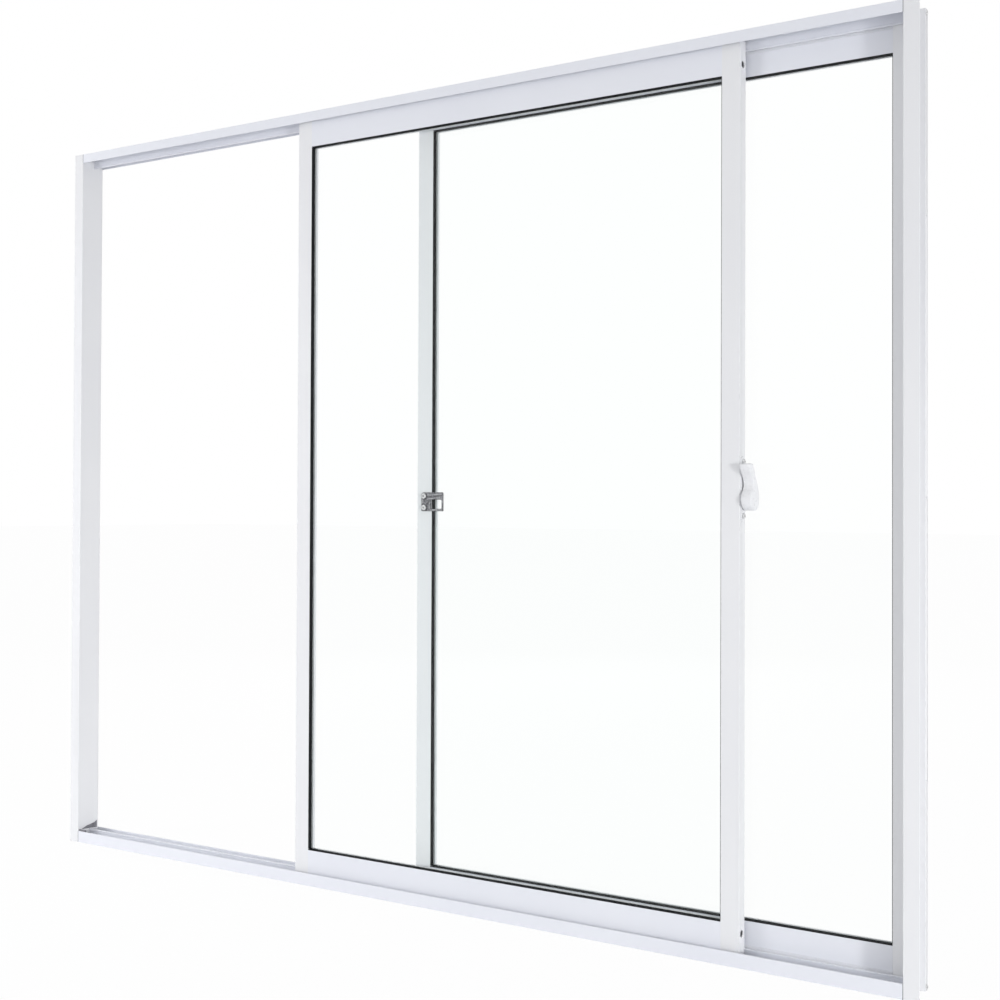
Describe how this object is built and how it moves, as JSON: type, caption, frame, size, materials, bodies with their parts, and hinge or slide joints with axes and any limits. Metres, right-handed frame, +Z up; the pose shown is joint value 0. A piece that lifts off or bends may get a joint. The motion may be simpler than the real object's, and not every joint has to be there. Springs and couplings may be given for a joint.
{
  "type": "aluminium sliding window",
  "caption": "White aluminium sliding window with glazed leaves on rollers in a flanged frame, the front leaf half open, with a latch and keeper.",
  "frame": {"origin": "middle of the sill's underside, halfway through the frame's depth", "axes": "+X to the right seen from the room, +Y from the room to the outside, +Z up"},
  "size_m": [1.5, 0.0545, 1.2],
  "materials": {
    "white_paint": "satin white powder coat on extruded aluminium",
    "latch_paint": "smooth white paint on a die casting",
    "window_glass": "clear float glass",
    "black_rubber": "matt extruded rubber",
    "cast_zinc": "bright zinc plate",
    "screw_steel": "zinc-plated steel",
    "nylon_wheel": "nylon",
    "housing_plastic": "moulded plastic",
    "grey_brush": "woven pile strip"
  },
  "bodies": {
    "root": {"head": "white_paint", "sill": "white_paint", "left_jamb": "white_paint", "right_jamb": "white_paint", "frame_screws": "screw_steel", "latch_plate": "latch_paint", "latch_lever": "latch_paint", "latch_screws": "screw_steel", "keeper": "cast_zinc", "keeper_screws": "screw_steel", "front_leaf_left_stile": "white_paint", "front_leaf_right_stile": "white_paint", "front_leaf_top_rail": "white_paint", "front_leaf_bottom_rail": "white_paint", "front_leaf_corner_screws": "screw_steel", "front_leaf_glass": "window_glass", "front_leaf_left_gasket": "black_rubber", "front_leaf_right_gasket": "black_rubber", "front_leaf_top_gasket": "black_rubber", "front_leaf_bottom_gasket": "black_rubber", "front_leaf_roller_wheels": "nylon_wheel", "front_leaf_roller_housings": "housing_plastic", "front_leaf_top_guides": "housing_plastic", "front_leaf_brushes": "grey_brush", "rear_leaf_left_stile": "white_paint", "rear_leaf_right_stile": "white_paint", "rear_leaf_top_rail": "white_paint", "rear_leaf_bottom_rail": "white_paint", "rear_leaf_corner_screws": "screw_steel", "rear_leaf_glass": "window_glass", "rear_leaf_left_gasket": "black_rubber", "rear_leaf_right_gasket": "black_rubber", "rear_leaf_top_gasket": "black_rubber", "rear_leaf_bottom_gasket": "black_rubber", "rear_leaf_roller_wheels": "nylon_wheel", "rear_leaf_roller_housings": "housing_plastic", "rear_leaf_top_guides": "housing_plastic", "rear_leaf_brushes": "grey_brush"}
  },
  "joints": []
}
